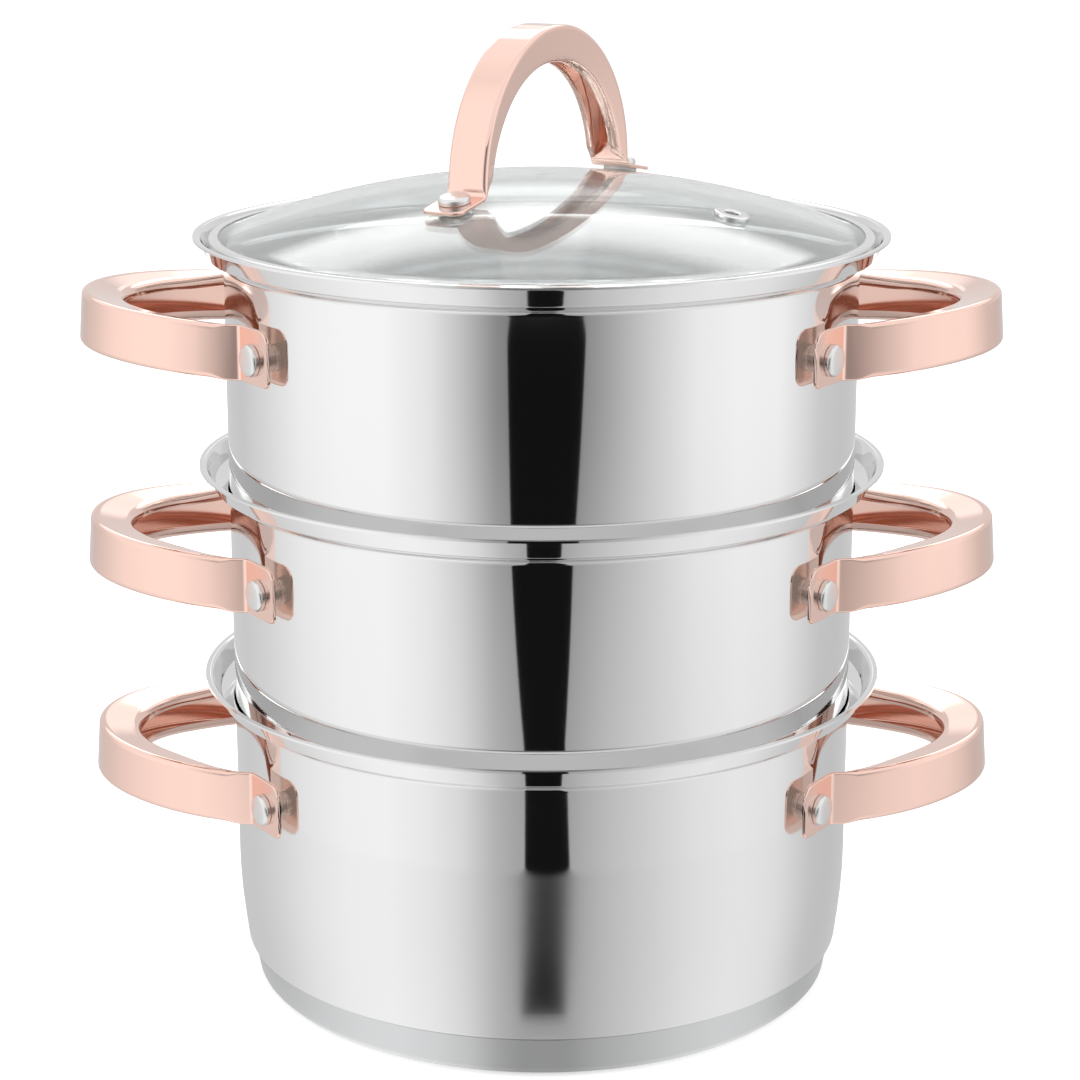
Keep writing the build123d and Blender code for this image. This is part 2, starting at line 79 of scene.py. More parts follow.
def rounded(points, radii, steps=10, support=0.25):
    """Line through points with its corners rounded, and held straight in between."""
    line = [Vector(points[0])]
    for before, corner, after, radius in zip(points, points[1:], points[2:], radii):
        before, corner, after = Vector(before), Vector(corner), Vector(after)
        arrive, leave = (corner - before).normalized(), (after - corner).normalized()
        turn = acos(max(-1.0, min(1.0, arrive.dot(leave))))
        if radius <= 0 or turn < 0.001:
            line.append(corner)
            continue
        reach = radius * tan(turn / 2)
        start, end = corner - arrive * reach, corner + leave * reach
        side = side_of(arrive, leave)
        centre = start + side * radius * Vector((-arrive.y, arrive.x))
        count = max(3, ceil(steps * turn / (pi / 2)) + 1)
        line.append(start - arrive * min(support, (start - line[-1]).length / 3))
        line.extend(arc(centre, start - centre, side * turn, count))
        line.append(end + leave * min(support, (after - end).length / 3))
    line.append(Vector(points[-1]))
    return line


def thickened(line, thickness):
    """Closed outline of a sheet: the line, and back along its left side."""
    inner = []
    for place, point in enumerate(line):
        directions = []
        if place > 0:
            directions.append((point - line[place - 1]).normalized())
        if place < len(line) - 1:
            directions.append((line[place + 1] - point).normalized())
        mean = sum(directions, Vector((0, 0)))
        mean.normalize()
        inner.append(point + thickness * Vector((-mean.y, mean.x)))
    if abs(line[0].x) < 1e-9:
        inner[0].x = 0
    return line + inner[::-1]


def finished(name, body, material, mesh, nodes):
    """Object from a bmesh in millimetres, dressed and set on its body."""
    bmesh.ops.remove_doubles(mesh, verts=mesh.verts, dist=1e-5)
    bmesh.ops.recalc_face_normals(mesh, faces=mesh.faces)
    bmesh.ops.scale(mesh, vec=(MM, MM, MM), verts=mesh.verts)
    data = bpy.data.meshes.new(name)
    mesh.to_mesh(data)
    mesh.free()
    for face in data.polygons:
        face.use_smooth = True
    data.set_sharp_from_angle(angle=SHARP_ANGLE)
    thing = bpy.data.objects.new(name, data)
    bpy.context.scene.collection.objects.link(thing)
    data.materials.append(material)
    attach(thing, body)
    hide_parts(*nodes)


def spin(mesh, outline, matrix=None, steps=STEPS_ROUND):
    """Turn a closed outline of (radius, height) round the z axis into the mesh."""
    rings = []
    for step in range(steps):
        angle = 2 * pi * step / steps
        ring = []
        for p in outline:
            ring.append(mesh.verts.new((p[0] * cos(angle), p[0] * sin(angle), p[1])))
        rings.append(ring)
    if matrix:
        made = [vertex for ring in rings for vertex in ring]
        bmesh.ops.transform(mesh, matrix=matrix, verts=made)
    for step in range(steps):
        here, after = rings[step], rings[(step + 1) % steps]
        for place in range(len(outline)):
            following = (place + 1) % len(outline)
            mesh.faces.new((here[place], after[place], after[following], here[following]))


class Wire:
    """A socket of a node tree that can be used in Python arithmetic."""

    def __init__(self, tree, socket=None):
        self.tree, self.socket = tree, socket

    def add(self, kind, settings=None, sockets=None, out=0):
        """New node of a kind, its settings and its sockets' values or wires."""
        node = self.tree.nodes.new(kind)
        for name, value in (settings or {}).items():
            if name == "stops":
                while len(node.color_ramp.elements) < len(value):
                    node.color_ramp.elements.new(1)
                for stop, (place, colour) in zip(node.color_ramp.elements, value):
                    stop.position, stop.color = place, colour
            else:
                setattr(node, name, value)
        for name, value in (sockets or {}).items():
            if isinstance(value, Wire):
                self.tree.links.new(value.socket, node.inputs[name])
            else:
                node.inputs[name].default_value = value
        return Wire(self.tree, node.outputs[out] if node.outputs else node)

    def pick(self, name):
        """Another output of this wire's node."""
        return Wire(self.tree, self.socket.node.outputs[name])

    def math(self, operation, *others):
        values = dict(enumerate((self,) + others))
        return self.add("ShaderNodeMath", {"operation": operation}, values)

    def __add__(self, other):
        return self.math("ADD", other)

    def __radd__(self, other):
        return self.math("ADD", other)

    def __sub__(self, other):
        return self.math("SUBTRACT", other)

    def __rsub__(self, other):
        return (self * -1) + other

    def __mul__(self, other):
        return self.math("MULTIPLY", other)

    def __rmul__(self, other):
        return self.math("MULTIPLY", other)

    def __truediv__(self, other):
        return self.math("DIVIDE", other)

    def between(self, low, high):
        """0 below low, 1 above high, and smooth in between."""
        return self.add(
            "ShaderNodeMapRange",
            {"interpolation_type": "SMOOTHSTEP"},
            {"Value": self, "From Min": low, "From Max": high},
        )


def finish_material(name, **constants):
    """Material with a Principled shader, its own constants set on it."""
    material = bpy.data.materials.new(name)
    material.use_nodes = True
    shader = material.node_tree.nodes["Principled BSDF"]
    for key, value in constants.items():
        shader.inputs[key.replace("_", " ")].default_value = value
    return material, shader, Wire(material.node_tree)


def feed(shader, key, wire):
    wire.tree.links.new(wire.socket, shader.inputs[key])


def polished_steel(name, satin_below=None):
    """Bright stainless, with the faint unevenness of a buffed sheet."""
    material, shader, start = finish_material(name, Base_Color=BRIGHT, Metallic=1.0)
    place = start.add("ShaderNodeTexCoord").pick("Object")
    soft = start.add(
        "ShaderNodeTexNoise", {}, {"Vector": place, "Scale": 14.0, "Detail": 2.0}
    ).pick("Fac")
    rough = soft * UNEVEN + POLISH
    if satin_below:
        height = start.add("ShaderNodeSeparateXYZ", {}, {"Vector": place}).pick("Z")
        satin = 1 - height.between(satin_below - SATIN_FALL, satin_below + SATIN_RISE)
        rough = rough + satin * SATIN
    feed(shader, "Roughness", rough)
    return material


def mouth(lip):
    """Wall, seat, crease and lip: the rolled-out mouth of every vessel."""
    return [
        (WALL, lip - SEAT_DROP),
        (CREASE, lip - CREASE_DROP),
        (LIP_BEND, lip - SHEET),
        (LIP_EDGE, lip - SHEET),
    ]


pot_line = rounded(
    [
        (0, POT_FLOOR),
        (POT_WAIST, POT_FLOOR),
        (POT_WAIST, BASE_HEIGHT),
        (POT_BELLY, BASE_HEIGHT),
        BELLY_END,
        *mouth(LIPS["pot"]),
    ],
    POT_ROUNDING,
)
pot_steel = polished_steel("pot_polished_steel", SATIN_TOP)
pot_mesh = bmesh.new()
spin(pot_mesh, thickened(pot_line, SHEET))
finished("pot_wall", "pot", pot_steel, pot_mesh, ["pot_shell"])

# Base: a satin steel cup bonded over an aluminium disc, which it hides. Faint
# turning marks run round its side.
BASE_FOOT, BASE_KNEE, BASE_SIDE = 108.7, 113.0, 115.2
KNEE_HEIGHT, CAPSULE_TOP = 4.0, 16.2
CAPSULE_WAIST, CORE_EDGE = 114.3, 101.3
BASE_SHEET, CORE_TOP = 1.0, 7.25
BASE_ROUNDING = [3.0, 4.0, 0.3, 0, 6.3, 0, 0]
base_steel, shader, start = finish_material(
    "base_satin_steel", Base_Color=(0.60, 0.605, 0.61, 1), Metallic=1.0, Roughness=0.24
)
place = start.add("ShaderNodeTexCoord").pick("Object")
turned = start.add(
    "ShaderNodeTexWave",
    {"wave_type": "BANDS", "bands_direction": "Z"},
    {"Vector": place, "Scale": 90.0, "Distortion": 0.6, "Detail": 1.0},
).pick("Fac")
marks = start.add(
    "ShaderNodeBump", {}, {"Height": turned, "Strength": 0.04, "Distance": 0.0003}
)
feed(shader, "Normal", marks)
base_line = rounded(
    [
        (0, 0),
        (BASE_FOOT, 0),
        (BASE_KNEE, KNEE_HEIGHT),
        (BASE_SIDE, CAPSULE_TOP),
        (CAPSULE_WAIST, CAPSULE_TOP),
        (CAPSULE_WAIST, CORE_TOP),
        (CORE_EDGE, CORE_TOP),
        (CORE_EDGE, BASE_SHEET),
        (0, BASE_SHEET),
    ],
    BASE_ROUNDING,
)
base_mesh = bmesh.new()
spin(base_mesh, base_line)
finished("base_capsule", "pot", base_steel, base_mesh, ["pot_base_capsule"])
disc_material = finish_material(
    "core_aluminium", Base_Color=(0.8, 0.8, 0.81, 1), Metallic=1.0, Roughness=0.35
)[0]
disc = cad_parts["pot_core_disc"]
disc.data.materials.clear()
disc.data.materials.append(disc_material)

# Steamers: two baskets of the same polished sheet. A collar under the shoulder
# drops into the mouth below, and the flat floor is pierced for the steam.
FLOOR_EDGE, COLLAR = 112.0, 118.5
SHOULDER_DROP, COLLAR_DEPTH = 10.1, 9.0
BASKET_ROUNDING = [2.5, 0.9, 0.9, *MOUTH_ROUNDING]
HOLE_RINGS, HOLE_STEPS = 3, 40


def pierced_floor(material):
    """Geometry nodes: a thin round floor with a centre hole and rings of holes."""
    tree = bpy.data.node_groups.new("pierced_floor", "GeometryNodeTree")
    face = tree.interface
    face.new_socket("Geometry", in_out="INPUT", socket_type="NodeSocketGeometry")
    face.new_socket("Geometry", in_out="OUTPUT", socket_type="NodeSocketGeometry")
    for name, kind in (
        ("Floor radius", "NodeSocketFloat"),
        ("Sheet", "NodeSocketFloat"),
        ("Hole radius", "NodeSocketFloat"),
        ("Ring pitch", "NodeSocketFloat"),
        ("Holes in first ring", "NodeSocketInt"),
    ):
        face.new_socket(name, in_out="INPUT", socket_type=kind)
    start = Wire(tree)
    given = start.add("NodeGroupInput")
    sheet = given.pick("Sheet")
    floor = start.add(
        "GeometryNodeMeshCylinder",
        {},
        {"Vertices": STEPS_ROUND, "Radius": given.pick("Floor radius"), "Depth": sheet},
    )
    cutter = start.add(
        "GeometryNodeMeshCylinder",
        {},
        {"Vertices": HOLE_STEPS, "Radius": given.pick("Hole radius"), "Depth": sheet * 4},
    )
    spots = start.add("GeometryNodeJoinGeometry")
    join = spots.socket.node
    middle = start.add("GeometryNodeMeshLine", {}, {"Count": 1})
    tree.links.new(middle.socket, join.inputs[0])
    for ring in range(1, HOLE_RINGS + 1):
        circle = start.add(
            "GeometryNodeMeshCircle",
            {},
            {
                "Vertices": given.pick("Holes in first ring") * ring,
                "Radius": given.pick("Ring pitch") * ring,
            },
        )
        tree.links.new(circle.socket, join.inputs[0])
    cutters = start.add(
        "GeometryNodeInstanceOnPoints", {}, {"Points": spots, "Instance": cutter}
    )
    loose = start.add("GeometryNodeRealizeInstances", {}, {"Geometry": cutters})
    cut = start.add(
        "GeometryNodeMeshBoolean", {"operation": "DIFFERENCE", "solver": "EXACT"}
    )
    boolean = cut.socket.node
    tree.links.new(floor.socket, boolean.inputs["Mesh 1"])
    tree.links.new(loose.socket, boolean.inputs["Mesh 2"])
    whole = start.add("GeometryNodeRealizeInstances", {}, {"Geometry": cut})
    dressed = start.add(
        "GeometryNodeSetMaterial", {}, {"Geometry": whole, "Material": material}
    )
    start.add("NodeGroupOutput", {}, {"Geometry": dressed})
    return tree


def grown(tree, values):
    """Plain mesh from a geometry-nodes tree with its named inputs set."""
    data = bpy.data.meshes.new(tree.name)
    maker = bpy.data.objects.new(tree.name, data)
    bpy.context.scene.collection.objects.link(maker)
    modifier = maker.modifiers.new("Nodes", "NODES")
    modifier.node_group = tree
    for item in tree.interface.items_tree:
        if item.in_out == "INPUT" and item.name in values:
            modifier[item.identifier] = values[item.name]
    bpy.context.view_layer.update()
    shape = maker.evaluated_get(bpy.context.evaluated_depsgraph_get())
    result = bpy.data.meshes.new_from_object(shape)
    maker.modifiers.remove(modifier)
    bpy.data.objects.remove(maker)
    return result


steamer_steel = polished_steel("steamer_polished_steel")
floor_data = grown(
    pierced_floor(steamer_steel),
    {
        "Floor radius": FLOOR_EDGE,
        "Sheet": SHEET,
        "Hole radius": 4.0,
        "Ring pitch": 28.0,
        "Holes in first ring": 6,
    },
)
for vessel, seat in (("lower_steamer", "pot"), ("upper_steamer", "lower_steamer")):
    shoulder = LIPS[seat] - SHOULDER_DROP
    floor = shoulder - COLLAR_DEPTH
    line = rounded(
        [
            (FLOOR_EDGE, floor),
            (COLLAR, floor),
            (COLLAR, shoulder),
            (WALL, shoulder + WALL - COLLAR),
            *mouth(LIPS[vessel]),
        ],
        BASKET_ROUNDING,
    )
    mesh = bmesh.new()
    spin(mesh, thickened(line, SHEET))
    floor_mesh = bmesh.new()
    floor_mesh.from_mesh(floor_data)
    bmesh.ops.translate(floor_mesh, vec=(0, 0, floor + SHEET / 2), verts=floor_mesh.verts)
    lifted = bpy.data.meshes.new("lifted")
    floor_mesh.to_mesh(lifted)
    floor_mesh.free()
    mesh.from_mesh(lifted)
    # The floor and the collar meet in one sheet, without faces between them
    spent = [
        face
        for face in mesh.faces
        if all(abs(hypot(v.co.x, v.co.y) - FLOOR_EDGE) < 0.01 for v in face.verts)
    ]
    bmesh.ops.delete(mesh, geom=spent, context="FACES_ONLY")
    finished(
        f"{vessel}_basket", vessel, steamer_steel, mesh, [f"{vessel}_shell"]
    )

# Side handles: a steel strip pressed to a channel, with its inner edges rolled
# over for the fingers, bent out from two flat tabs, and coated rose gold.
SIDES = (("left", pi), ("right", 0.0))
HANDLE_REACH, HANDLE_DROP, HANDLE_DEPTH = 175.0, 35.6, 16.5
HANDLE_SHEET, HALF_HEIGHT = 1.2, 10.25
EDGE, ROLL, GRIP_LIP = 2.2, 3.0, 0.8
SPACER = 3.2
TAB_TURN, TAB_END = radians(33.6), 11.0
TAB_FACE = WALL + SPACER + HANDLE_SHEET
UPPER_CORNER, LOWER_CORNER = 5.5, 3.0
TILT, TILT_START, TILT_BLEND = radians(4.3), 112.0, 3.0
# The flanges fall a little towards the fingers, and grow from nothing over
# the first of their depth
FALL = tan(radians(8.0))
FLANGE_START = 1.5
# Extra lines on the flat runs, so that the rounded corners shade evenly
HOLD, NEAR_SHARE, FAR_SHARE = 0.2, 0.15, 0.85
LEAST_EDGE, LEAST_CURL, CURL_SHARE = 0.08, 0.05, 0.6
# How far inward the flanges' edge is looked for, and in how many halvings
SEARCH = (60.0, 48)


def grey(level):
    return (level, level, level, 1)


def rose_gold(name):
    """Polished copper-pink coating over steel, with a painted glow on the tabs' backs and
    inside the channel.
    """
    material, shader, start = finish_material(
        name, Base_Color=(0.86, 0.605, 0.525, 1), Metallic=1.0
    )
    place = start.add("ShaderNodeTexCoord").pick("Object")
    soft = start.add(
        "ShaderNodeTexNoise", {}, {"Vector": place, "Scale": 60.0, "Detail": 2.0}
    ).pick("Fac")
    deep = start.add("ShaderNodeAttribute", {"attribute_name": "inside"}, out="Fac")
    feed(shader, "Roughness", soft * 0.03 + 0.03 + deep.between(0.2, 0.6) * 0.1)
    # Painted glow: emission on the tabs' backs and inside the channel that stands in
    # for light which would reach them only after many reflections
    painted_glow_stops = [
        (0.0, grey(0)),
        (0.3, grey(0)),
        (0.5, (0.20, 0.15, 0.125, 1)),
        (1.0, (0.05, 0.018, 0.01, 1)),
    ]
    glow = start.add("ShaderNodeValToRGB", {"stops": painted_glow_stops}, {"Fac": deep})
    feed(shader, "Emission Color", glow)
    shader.inputs["Emission Strength"].default_value = 1.0
    return material


def channel_section(depth, up, down, sheet, edge, roll, lip, steps=6):
    """Closed outline (inward, upward, share inside) of the channel.

    Depth is how far the flanges reach inward, and up and down how far the band
    reaches from its middle. Edge is the radius of the outer corners, roll that of
    the edges rolled over for the fingers, and lip the short end past the roll.
    """
    grown_share = max(0.0, min(1.0, (depth - sheet) / FLANGE_START))
    outer_edge = min(edge, depth / 2)
    inner_edge = max(outer_edge - sheet, LEAST_EDGE)
    curl = min(roll, max(depth - outer_edge - HOLD, 0.0) * CURL_SHARE)
    wall = sheet * grown_share
    inner_curl = max(curl - sheet, LEAST_CURL)
    turns = [pi / 2 * step / steps for step in range(steps + 1)]
    turns_back = [pi / 2 * (1 - step / steps) for step in range(steps + 1)]

    def half(height):
        tip = height - curl - lip * grown_share * min(1.0, curl / roll)
        outer = [(0, 0), (0, height * 0.5), (0, height - outer_edge - HOLD)]
        for angle in turns:
            across = outer_edge - outer_edge * cos(angle)
            outer.append((across, height - outer_edge + outer_edge * sin(angle)))
        for share in (NEAR_SHARE, FAR_SHARE):
            outer.append((outer_edge + share * (depth - curl - outer_edge), height))
        for angle in turns:
            across = depth - curl + curl * sin(angle)
            outer.append((across, height - curl + curl * cos(angle)))
        outer.append((depth, tip))
        inner = [(depth - wall, tip)]
        for angle in turns_back:
            across = max(depth - max(curl, wall) + inner_curl * sin(angle), sheet)
            if curl > sheet:
                rise = height - max(curl, wall) + inner_curl * cos(angle)
            else:
                rise = height - wall
            inner.append((across, rise))
        run = depth - curl - sheet - inner_edge
        for share in (FAR_SHARE, NEAR_SHARE):
            inner.append((sheet + inner_edge + share * max(run, 0), height - wall))
        for angle in turns_back:
            across = sheet + inner_edge - inner_edge * cos(angle)
            inner.append((across, height - wall - inner_edge + inner_edge * sin(angle)))
        inner.append((sheet, height * 0.5))
        inner.append((sheet, 0))
        fallen = []
        for line in (outer, inner):
            fallen.append([(u, v - FALL * grown_share * u) for u, v in line])
        return fallen

    outer_up, inner_up = half(up)
    outer_down, inner_down = half(down)
    deep = 0.5 + 0.5 * grown_share
    return (
        [(u, v, 0.0) for u, v in outer_up]
        + [(u, v, deep) for u, v in inner_up]
        + [(u, -v, deep) for u, v in inner_down[::-1][1:]]
        + [(u, -v, 0.0) for u, v in outer_down[::-1][:-1]]
    )


def pressed_channel(mesh, stations):
    """Skin the outlines of the stations: (origin, inward, upward, outline).

    The attribute "inside" is 0 on the outer faces, 0.5 on the tabs' backs and 1
    inside the channel.
    """
    share = mesh.verts.layers.float.new("inside")
    rings = []
    for origin, inward, upward, outline in stations:
        ring = []
        for u, v, deep in outline:
            ring.append(mesh.verts.new(origin + inward * u + upward * v))
            ring[-1][share] = deep
        rings.append(ring)
    for here, after in zip(rings, rings[1:]):
        for place in range(len(here)):
            following = (place + 1) % len(here)
            mesh.faces.new((here[place], here[following], after[following], after[place]))
    mesh.faces.new(rings[0])
    mesh.faces.new(rings[-1][::-1])


def path_stations(points):
    """Even stations (point, direction, distance) along a line."""
    stations, distance = [], 0.0
    for place, point in enumerate(points):
        if place:
            distance += (point - points[place - 1]).length
        before = points[max(place - 1, 0)]
        after = points[min(place + 1, len(points) - 1)]
        stations.append((point, (after - before).normalized(), distance))
    return stations


def corner_drop(distance, radius):
    """How far a tab's rounded corner lies in from its edge, near its end."""
    if distance >= radius:
        return 0.0
    return radius - sqrt(max(radius**2 - (radius - distance) ** 2, 0.0))


def depth_to(past, point, inward, furthest, halvings):
    """Distance inward from a point to where a test on the spot begins to hold."""
    low, high = 0.0, furthest
    for step in range(halvings):
        depth = (low + high) / 2
        if past(point + inward * depth):
            high = depth
        else:
            low = depth
    return (low + high) / 2


# Plan line of the outer face: tab, bend, leg and half the bow, then its mirror.
# The tab's stations lie closer at its rounded end.
BOW_RADIUS, BOW = 55.0, radians(41.0)
BOW_CENTRE = HANDLE_REACH - BOW_RADIUS
LEG_RADIUS, BEND = 72.0, 2.0
LEG_STEPS, BEND_STEPS, BOW_STEPS = 59, 12, 40
TAB_SHARES = (0, 0.006, 0.02, 0.045, 0.08, 0.12, 0.17, 0.23, 0.3, 0.45, 0.65, 0.85, 0.985)
bow_end = Vector((BOW_CENTRE + BOW_RADIUS * cos(BOW), -BOW_RADIUS * sin(BOW)))
leg_centre = Vector((bow_end.x - LEG_RADIUS * cos(BOW), bow_end.y + LEG_RADIUS * sin(BOW)))
tab_foot = Vector((TAB_FACE * cos(TAB_TURN), -TAB_FACE * sin(TAB_TURN)))
tab_along = Vector((sin(TAB_TURN), cos(TAB_TURN)))
gap = tab_foot - leg_centre
half_b = gap.dot(tab_along)
to_corner = -half_b - sqrt(half_b**2 - gap.length_squared + LEG_RADIUS**2)
corner = tab_foot + tab_along * to_corner
corner_turn = atan2(corner.y - leg_centre.y, corner.x - leg_centre.x)
tab_end = tab_foot - tab_along * TAB_END
leg_points = []
for step in range(LEG_STEPS + 1):
    turn = corner_turn + (-BOW - corner_turn) * step / LEG_STEPS
    leg_points.append(leg_centre + LEG_RADIUS * Vector((cos(turn), sin(turn))))
leave = (leg_points[1] - leg_points[0]).normalized()
bend_turn = acos(tab_along.dot(leave))
bend_reach = BEND * tan(bend_turn / 2)
tab_run = (corner - tab_end).length - bend_reach
tab_points = [tab_end + tab_along * tab_run * share for share in TAB_SHARES]
side = side_of(tab_along, leave)
bend_start = corner - tab_along * bend_reach
bend_centre = bend_start + side * BEND * Vector((-tab_along.y, tab_along.x))
bend_points = arc(bend_centre, bend_start - bend_centre, side * bend_turn, BEND_STEPS)
# The leg starts just past the bend
leg_points = [p for p in leg_points if (p - corner).length > bend_reach * 1.1]
bow_points = []
for step in range(1, BOW_STEPS + 1):
    turn = -BOW * (1 - step / BOW_STEPS)
    bow_points.append(Vector((BOW_CENTRE + BOW_RADIUS * cos(turn), BOW_RADIUS * sin(turn))))
half_line = tab_points + bend_points + leg_points + bow_points
plan_line = half_line + [Vector((p.x, -p.y)) for p in half_line[::-1][1:]]

# The fingers' side of the flanges: a round grip, and a straight line to each tab
GRIP_RADIUS, GRIP = 44.0, radians(48.0)
GRIP_CENTRE = HANDLE_REACH - HANDLE_DEPTH - GRIP_RADIUS
grip_point = Vector((GRIP_CENTRE + GRIP_RADIUS * cos(GRIP), -GRIP_RADIUS * sin(GRIP)))
grip_along = Vector((-sin(GRIP), -cos(GRIP)))


def past_grip(spot):
    """Whether a spot on the plan is in the opening for the fingers."""
    y = -abs(spot.y)
    if abs(atan2(y, spot.x - GRIP_CENTRE)) <= GRIP:
        return hypot(spot.x - GRIP_CENTRE, y) < GRIP_RADIUS
    return side_of(Vector((spot.x, y)) - grip_point, grip_along) > 0


def side_handle(mesh, lip, heading):
    place = Matrix.Translation((0, 0, lip - HANDLE_DROP)) @ Matrix.Rotation(heading, 4, "Z")
    turned = place.to_3x3()
    path = path_stations(plan_line)
    stations = []
    for point, along, distance in path:
        from_end = min(distance, path[-1][2] - distance)
        inward = Vector((-along.y, along.x))
        depth = max(depth_to(past_grip, point, inward, *SEARCH), HANDLE_SHEET)
        if from_end < tab_run:
            depth = HANDLE_SHEET
        up = HALF_HEIGHT - corner_drop(from_end, UPPER_CORNER)
        down = HALF_HEIGHT - corner_drop(from_end, LOWER_CORNER)
        outline = channel_section(depth, up, down, HANDLE_SHEET, EDGE, ROLL, GRIP_LIP)
        share = max(0.0, min(1.0, (point.x - TILT_START + TILT_BLEND) / (2 * TILT_BLEND)))
        tilt = TILT * share * share * (3 - 2 * share)
        rise = max(0.0, point.x - TILT_START)
        origin = Vector((point.x - rise * (1 - cos(tilt)), point.y, rise * sin(tilt)))
        inward = Vector((inward.x * cos(tilt), inward.y, inward.x * sin(tilt)))
        upward = Vector((-sin(tilt), 0, cos(tilt)))
        stations.append((place @ origin, turned @ inward, turned @ upward, outline))
    pressed_channel(mesh, stations)


handle_copper = rose_gold("handle_rose_gold")
for vessel, lip in LIPS.items():
    for side, heading in SIDES:
        mesh = bmesh.new()
        side_handle(mesh, lip, heading)
        finished(
            f"{vessel}_{side}_handle",
            vessel,
            handle_copper,
            mesh,
            [f"{vessel}_handle_{side}"],
        )

# Rivets and spacers: each tab stands off the wall on a steel spacer, and a
# button-headed rivet goes through the tab, spacer and wall to a flat foot inside.
RIVET_BELOW = 1.2
RIVET_DROP = HANDLE_DROP + RIVET_BELOW
RIVET_SHANK, RIVET_HEAD, RIVET_FOOT = 2.5, 5.9, 5.0
HEAD_DOME, DOME_ROUND, DOME_DROP = 0.35, 3.0, 0.08
FOOT_BOTTOM, FOOT_TOP = 117.55, 118.95
HEAD_BOTTOM, HEAD_TOP = TAB_FACE + 0.05, TAB_FACE + 3.05
FIXING_BORE, SPACER_EDGE = 2.6, 5.0
SPACER_BOTTOM, SPACER_TOP = 120.05, 123.2
FIXING_STEPS = 72
rivet_material = finish_material(
    "rivet_steel", Base_Color=(0.74, 0.735, 0.73, 1), Metallic=1.0, Roughness=0.27
)[0]
spacer_material = finish_material(
    "spacer_steel", Base_Color=(0.64, 0.635, 0.63, 1), Metallic=1.0, Roughness=0.28
)[0]


def rivet_outline(foot_bottom, foot_top, head_bottom, head_top):
    """Flat foot, shank and a head that is rounded at its edge and barely domed."""
    foot = rounded(
        [
            (0, foot_bottom),
            (RIVET_FOOT, foot_bottom),
            (RIVET_FOOT, foot_top),
            (RIVET_SHANK, foot_top),
        ],
        [0.8, 0.2],
    )
    head = rounded(
        [
            (RIVET_SHANK, head_bottom),
            (RIVET_HEAD, head_bottom),
            (RIVET_HEAD, head_top - HEAD_DOME),
            (DOME_ROUND, head_top - DOME_DROP),
            (0, head_top),
        ],
        [0.3, 1.5, 6.0],
    )
    return foot + head


def ring_outline(edge, bottom, top, rounding):
    """Flat ring round a rivet's shank, with its outer corners rounded."""
    corners = [(FIXING_BORE, bottom), (edge, bottom), (edge, top), (FIXING_BORE, top)]
    return rounded(corners, [rounding, rounding])


def set_on_tabs(mesh, outline, lip, heading):
    for turn in (-TAB_TURN, TAB_TURN):
        matrix = (
            Matrix.Translation((0, 0, lip - RIVET_DROP))
            @ Matrix.Rotation(heading + turn, 4, "Z")
            @ Matrix.Rotation(pi / 2, 4, "Y")
        )
        spin(mesh, outline, matrix, FIXING_STEPS)


for vessel, lip in LIPS.items():
    for side, heading in SIDES:
        mesh = bmesh.new()
        outline = rivet_outline(FOOT_BOTTOM, FOOT_TOP, HEAD_BOTTOM, HEAD_TOP)
        set_on_tabs(mesh, outline, lip, heading)
        finished(
            f"{vessel}_{side}_rivets",
            vessel,
            rivet_material,
            mesh,
            [f"{vessel}_rivets_{side}"],
        )
        mesh = bmesh.new()
        outline = ring_outline(SPACER_EDGE, SPACER_BOTTOM, SPACER_TOP, 0.25)
        set_on_tabs(mesh, outline, lip, heading)
        finished(
            f"{vessel}_{side}_spacers",
            vessel,
            spacer_material,
            mesh,
            [f"{vessel}_spacers_{side}"],
        )

# Lid glass: a shallow dome of clear tempered glass, ground round at the edge,
# which carries the handle and the vent.
LID_LIP = LIPS["upper_steamer"]
DOME_FOOT, DOME_APEX, DOME_EDGE = LID_LIP - 1.1, LID_LIP + 21.0, 121.5
dome_sag = DOME_APEX - DOME_FOOT
DOME_RADIUS = (DOME_EDGE**2 + dome_sag**2) / (2 * dome_sag)
DOME_CENTRE = DOME_APEX - DOME_RADIUS
GLASS, GLASS_EDGE, GLASS_CORNER = 4.0, 124.25, 123.9
EDGE_DROP, EDGE_SHOULDER, EDGE_BEVEL = 0.6, 0.9, 0.3
DOME_STEPS = 24
glass_material = finish_material(
    "lid_clear_glass",
    Base_Color=(0.93, 0.965, 0.96, 1),
    Roughness=0.0,
    IOR=1.5,
    Transmission_Weight=0.9,
)[0]
BAND_TOP, BAND_BOTTOM = LID_LIP - 0.6, LID_LIP - 6.9
# The glass stands on the band's sheet, with a hair's gap
glass_bottom = BAND_BOTTOM + 0.55


def dome_line(radius, start_radius, end_radius, steps):
    """Points on the dome's section, from one radius to another."""
    points = []
    for step in range(steps + 1):
        out = start_radius + (end_radius - start_radius) * step / steps
        points.append(Vector((out, DOME_CENTRE + sqrt(radius**2 - out**2))))
    return points


inner_radius = DOME_RADIUS - GLASS
inner_foot = sqrt(inner_radius**2 - (glass_bottom - DOME_CENTRE) ** 2)
glass_outline = (
    dome_line(DOME_RADIUS, 0, DOME_EDGE, DOME_STEPS)
    + [
        Vector((GLASS_CORNER, BAND_TOP - EDGE_DROP)),
        Vector((GLASS_EDGE, BAND_TOP - EDGE_SHOULDER)),
        Vector((GLASS_EDGE, glass_bottom + EDGE_BEVEL)),
        Vector((GLASS_CORNER, glass_bottom)),
    ]
    + dome_line(inner_radius, inner_foot, 0, DOME_STEPS)
)
mesh = bmesh.new()
spin(mesh, glass_outline)
finished("lid_dome", "lid", glass_material, mesh, ["lid_glass"])

